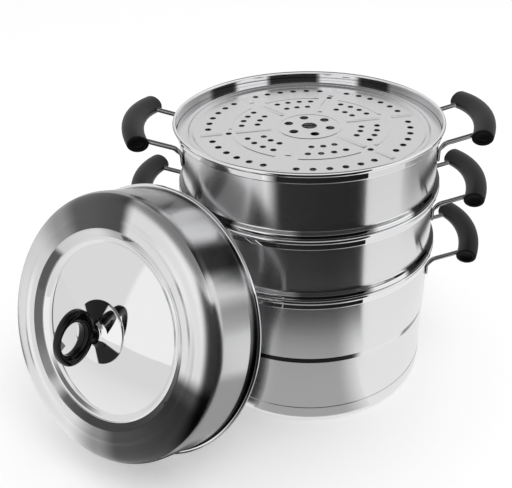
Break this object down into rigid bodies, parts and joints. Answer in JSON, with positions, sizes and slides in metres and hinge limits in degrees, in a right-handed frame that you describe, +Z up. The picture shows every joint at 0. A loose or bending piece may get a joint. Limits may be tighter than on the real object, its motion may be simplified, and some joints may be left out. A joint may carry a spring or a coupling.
{
  "type": "steamer pot",
  "caption": "Tall steel steamer: a cooking pot, stacked steaming tiers with perforated plates, side handles with black grips, and a deep domed lid with a loop knob, leaning against the stack.",
  "frame": {"origin": "centre of the pot's base, on the surface it stands on", "axes": "+Z up, X along the handles, the lid leans on the stack at its front left"},
  "size_m": [0.5263, 0.3985, 0.3275],
  "materials": {
    "body_steel": "satin wall, polished rim",
    "lid_steel": "satin skirt, mirror dome",
    "base_steel": "satin",
    "core_aluminium": "plain",
    "plate": "satin",
    "wire": "polished",
    "grip": "satin",
    "knob_black": "glossy",
    "knob_chrome": "mirror",
    "fastener_steel": "plain"
  },
  "bodies": {
    "pot": {"pot_body": "body_steel", "base_core": "core_aluminium", "base_cap": "base_steel", "pot_left_wire": "wire", "pot_left_grip": "grip", "pot_right_wire": "wire", "pot_right_grip": "grip"},
    "lower_plate": {"lower_plate": "plate"},
    "middle_tier": {"middle_tier": "body_steel", "middle_tier_left_wire": "wire", "middle_tier_left_grip": "grip", "middle_tier_right_wire": "wire", "middle_tier_right_grip": "grip"},
    "middle_plate": {"middle_plate": "plate"},
    "top_tier": {"top_tier": "body_steel", "top_tier_left_wire": "wire", "top_tier_left_grip": "grip", "top_tier_right_wire": "wire", "top_tier_right_grip": "grip"},
    "top_plate": {"top_plate": "plate"},
    "lid": {"lid_shell": "lid_steel", "knob_plate": "knob_chrome", "knob": "knob_black", "knob_screw": "fastener_steel", "knob_washer": "fastener_steel"}
  },
  "joints": [
    {"name": "lower_plate_lift", "type": "slide", "parent": "pot", "child": "lower_plate", "axis": [0, 0, 1], "range_m": [0, 0.12]},
    {"name": "middle_tier_lift", "type": "slide", "parent": "lower_plate", "child": "middle_tier", "axis": [0, 0, 1], "range_m": [0, 0.12]},
    {"name": "middle_plate_lift", "type": "slide", "parent": "middle_tier", "child": "middle_plate", "axis": [0, 0, 1], "range_m": [0, 0.12]},
    {"name": "top_tier_lift", "type": "slide", "parent": "middle_plate", "child": "top_tier", "axis": [0, 0, 1], "range_m": [0, 0.12]},
    {"name": "top_plate_lift", "type": "slide", "parent": "top_tier", "child": "top_plate", "axis": [0, 0, 1], "range_m": [0, 0.12]},
    {"name": "lid_lift", "type": "slide", "parent": "middle_tier", "child": "lid", "axis": [-0.5415, -0.7453, 0.3891], "range_m": [0, 0.2]}
  ]
}
